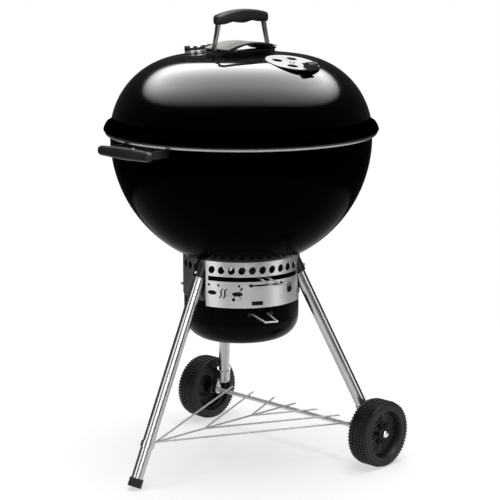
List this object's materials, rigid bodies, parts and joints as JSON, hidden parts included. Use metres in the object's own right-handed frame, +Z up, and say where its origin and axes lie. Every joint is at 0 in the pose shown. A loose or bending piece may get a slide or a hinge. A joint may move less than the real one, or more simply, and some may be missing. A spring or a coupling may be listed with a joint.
{
  "type": "kettle charcoal grill",
  "caption": "Round charcoal grill with a domed lid, deep bowl, ash bucket with a sweep lever, and a three-legged stand on two wheels and a foot.",
  "frame": {"origin": "on the ground, on the kettle's vertical axis", "axes": "+Z up; the leg without a wheel is on -X; the axle is along Y on the +X side; the side handles are at -X and +X"},
  "size_m": [0.69, 0.588, 0.982],
  "materials": {
    "black_enamel": "glossy porcelain enamel",
    "bowl_enamel": "glossy porcelain enamel",
    "bucket_enamel": "semi-gloss enamel",
    "black_nylon": "satin moulded nylon",
    "socket_black": "satin black",
    "foot_plastic": "matte moulded cap",
    "leg_aluminium": "polished tube",
    "panel_steel": "brushed, printed with plain symbols",
    "ring_steel": "aluminised sheet",
    "shield_steel": "satin grey sheet",
    "bright_steel": "bright plated",
    "strap_steel": "plated strap",
    "vent_aluminium": "bright disc",
    "tab_black": "black folded tab",
    "grate_steel": "plated rods",
    "coal_steel": "plain steel rods",
    "sweep_steel": "aluminised sheet",
    "wire_steel": "plated wire",
    "rack_steel": "plated wire",
    "wheel_plastic": "moulded black plastic",
    "cap_chrome": "bright pressed cap",
    "gauge_chrome": "bright case with a dark band",
    "dial_face": "printed dial",
    "pointer_red": "painted",
    "gauge_glass": "clear"
  },
  "bodies": {
    "stand": {"bowl_shell": "bowl_enamel", "side_handle_front_bracket": "strap_steel", "side_handle_front_grip": "black_nylon", "side_handle_front_bolts": "bright_steel", "side_handle_wheel_bracket": "strap_steel", "side_handle_wheel_grip": "black_nylon", "side_handle_wheel_bolts": "bright_steel", "cooking_grate": "grate_steel", "charcoal_grate": "coal_steel", "grate_supports": "coal_steel", "ash_ring": "ring_steel", "front_panel": "panel_steel", "bucket_clips": "bright_steel", "leg_front": "leg_aluminium", "leg_wheel_left": "leg_aluminium", "leg_wheel_right": "leg_aluminium", "leg_sockets": "socket_black", "socket_bolts": "bright_steel", "foot_cap": "foot_plastic", "axle": "wire_steel", "axle_bracket_left": "socket_black", "axle_bracket_right": "socket_black", "wire_rack": "rack_steel", "rack_clip": "rack_steel"},
    "lid": {"lid_shell": "black_enamel", "lid_vent_rivet": "bright_steel", "thermometer_case": "gauge_chrome", "thermometer_dial": "dial_face", "thermometer_glass": "gauge_glass", "thermometer_probe": "bright_steel", "thermometer_nut": "bright_steel", "lid_handle_base": "black_nylon", "lid_handle_posts": "strap_steel", "lid_handle_screws": "bright_steel", "lid_heat_shield": "shield_steel", "lid_handle_grip": "black_nylon"},
    "lid_vent": {"lid_vent_disc": "vent_aluminium", "lid_vent_tab": "tab_black"},
    "pointer": {"thermometer_pointer": "pointer_red"},
    "flap_left": {"grate_flap_left": "grate_steel"},
    "flap_right": {"grate_flap_right": "grate_steel"},
    "sweep": {"sweep_blades": "sweep_steel", "sweep_lever": "wire_steel"},
    "bucket": {"ash_bucket": "bucket_enamel", "bucket_ears": "bright_steel"},
    "bail": {"bucket_handle": "wire_steel"},
    "left_wheel": {"wheel_left": "wheel_plastic", "hub_cap_left": "cap_chrome"},
    "right_wheel": {"wheel_right": "wheel_plastic", "hub_cap_right": "cap_chrome"}
  },
  "joints": [
    {"name": "lid_lift", "type": "slide", "parent": "stand", "child": "lid", "axis": [0, 0, 1], "range_m": [0, 0.35]},
    {"name": "lid_vent_turn", "type": "hinge", "parent": "lid", "child": "lid_vent", "pos_m": [0, -0.147, 0.88087], "axis": [0, -0.1939, 0.981], "range_deg": [0, 45]},
    {"name": "thermometer_pointer_turn", "type": "hinge", "parent": "lid", "child": "pointer", "pos_m": [0, 0.128, 0.88374], "axis": [0, 0.1286, 0.9917], "range_deg": [-270, 0]},
    {"name": "grate_flap_left_hinge", "type": "hinge", "parent": "stand", "child": "flap_left", "pos_m": [-0.165, 0, 0.693], "axis": [0, 1, 0], "range_deg": [0, 75]},
    {"name": "grate_flap_right_hinge", "type": "hinge", "parent": "stand", "child": "flap_right", "pos_m": [0.165, 0, 0.693], "axis": [0, -1, 0], "range_deg": [0, 75]},
    {"name": "sweep_turn", "type": "hinge", "parent": "stand", "child": "sweep", "pos_m": [0, 0, 0.4247], "axis": [0, 0, 1], "range_deg": [-49, 36]},
    {"name": "ash_bucket_drop", "type": "slide", "parent": "stand", "child": "bucket", "axis": [0, 0, -1], "range_m": [0, 0.12]},
    {"name": "bucket_handle_swing", "type": "hinge", "parent": "bucket", "child": "bail", "pos_m": [-0.06009, -0.11302, 0.35], "axis": [0.8829, -0.4695, 0], "range_deg": [-20, 60]},
    {"name": "wheel_left_spin", "type": "hinge", "parent": "stand", "child": "left_wheel", "pos_m": [0.154, 0.263, 0.073], "axis": [0, 1, 0], "continuous": true},
    {"name": "wheel_right_spin", "type": "hinge", "parent": "stand", "child": "right_wheel", "pos_m": [0.154, -0.263, 0.073], "axis": [0, 1, 0], "continuous": true}
  ]
}
